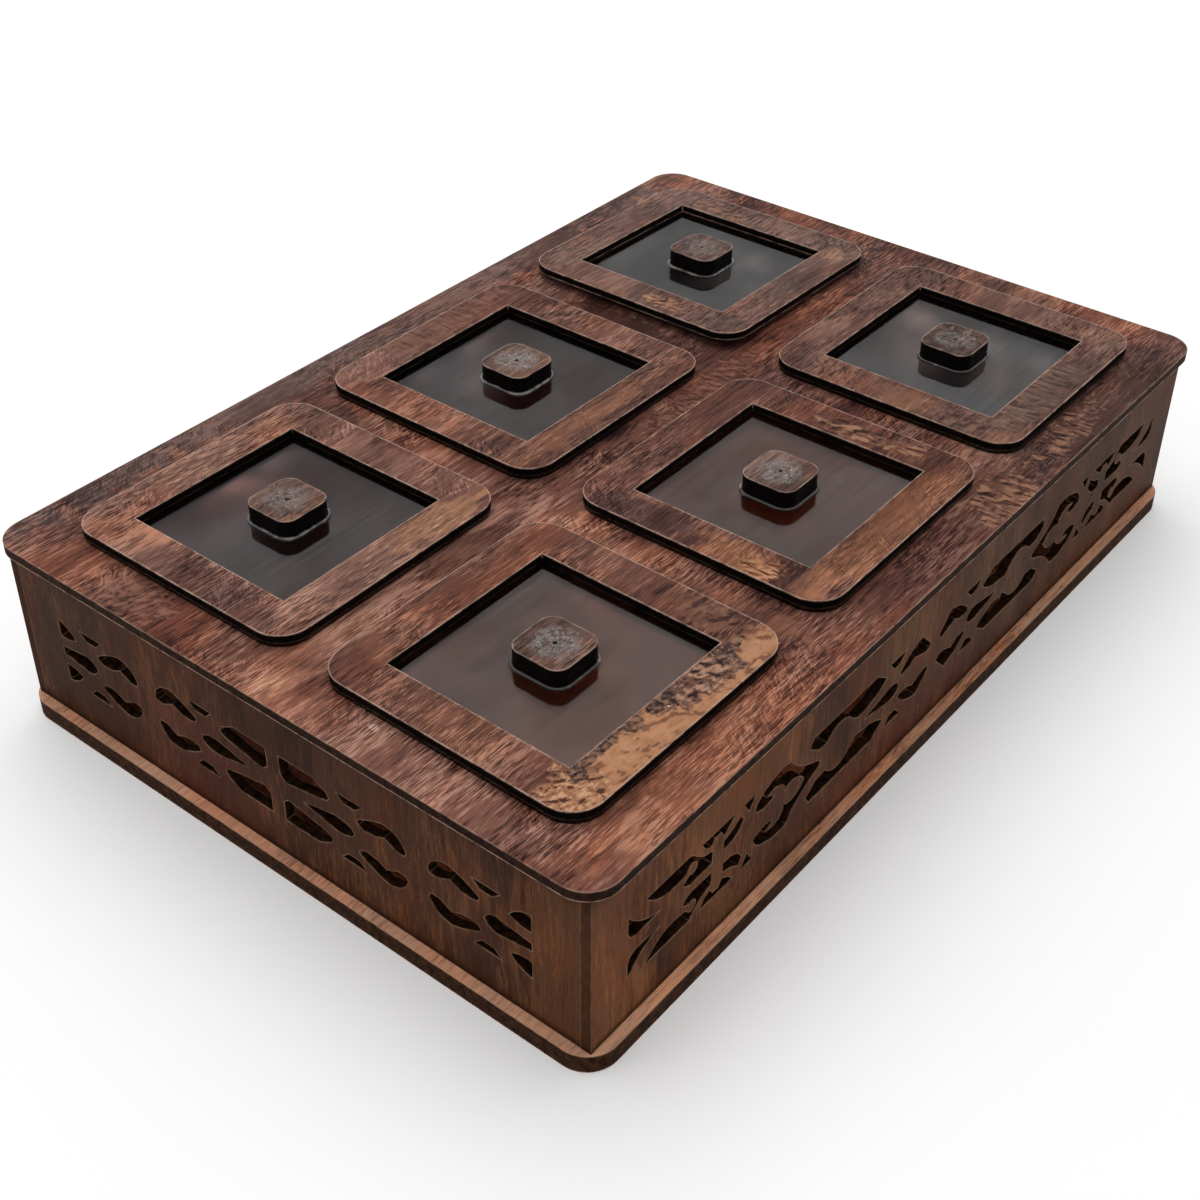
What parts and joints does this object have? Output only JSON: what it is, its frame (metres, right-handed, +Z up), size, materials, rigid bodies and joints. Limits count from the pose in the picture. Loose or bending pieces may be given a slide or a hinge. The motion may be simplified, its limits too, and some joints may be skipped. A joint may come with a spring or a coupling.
{
  "type": "compartment serving box",
  "caption": "Low rectangular serving box of dark stained board with pierced fretwork walls, a divider grid and framed clear lids that lift off by square knobs.",
  "frame": {"origin": "centre of the underside of the base plate", "axes": "+X along the length, +Y along the width, +Z up"},
  "size_m": [0.3, 0.206, 0.0667],
  "materials": {
    "base_board": "satin",
    "wall_board": "satin",
    "top_board": "satin",
    "lid_board": "satin",
    "knob_board": "satin",
    "inner_board": "satin",
    "clear_pane": "clear, glossy"
  },
  "bodies": {
    "box": {"base_plate": "base_board", "front_wall": "wall_board", "back_wall": "wall_board", "left_wall": "wall_board", "right_wall": "wall_board", "long_divider": "inner_board", "cross_divider_left": "inner_board", "cross_divider_right": "inner_board", "top_plate": "top_board"},
    "front_left_lid": {"front_left_frame": "lid_board", "front_left_pane": "clear_pane", "front_left_ring": "inner_board", "front_left_knob": "knob_board"},
    "back_left_lid": {"back_left_frame": "lid_board", "back_left_pane": "clear_pane", "back_left_ring": "inner_board", "back_left_knob": "knob_board"},
    "front_middle_lid": {"front_middle_frame": "lid_board", "front_middle_pane": "clear_pane", "front_middle_ring": "inner_board", "front_middle_knob": "knob_board"},
    "back_middle_lid": {"back_middle_frame": "lid_board", "back_middle_pane": "clear_pane", "back_middle_ring": "inner_board", "back_middle_knob": "knob_board"},
    "front_right_lid": {"front_right_frame": "lid_board", "front_right_pane": "clear_pane", "front_right_ring": "inner_board", "front_right_knob": "knob_board"},
    "back_right_lid": {"back_right_frame": "lid_board", "back_right_pane": "clear_pane", "back_right_ring": "inner_board", "back_right_knob": "knob_board"}
  },
  "joints": [
    {"name": "front_left_lid_lift", "type": "slide", "parent": "box", "child": "front_left_lid", "axis": [0, 0, 1], "range_m": [0, 0.06]},
    {"name": "back_left_lid_lift", "type": "slide", "parent": "box", "child": "back_left_lid", "axis": [0, 0, 1], "range_m": [0, 0.06]},
    {"name": "front_middle_lid_lift", "type": "slide", "parent": "box", "child": "front_middle_lid", "axis": [0, 0, 1], "range_m": [0, 0.06]},
    {"name": "back_middle_lid_lift", "type": "slide", "parent": "box", "child": "back_middle_lid", "axis": [0, 0, 1], "range_m": [0, 0.06]},
    {"name": "front_right_lid_lift", "type": "slide", "parent": "box", "child": "front_right_lid", "axis": [0, 0, 1], "range_m": [0, 0.06]},
    {"name": "back_right_lid_lift", "type": "slide", "parent": "box", "child": "back_right_lid", "axis": [0, 0, 1], "range_m": [0, 0.06]}
  ]
}
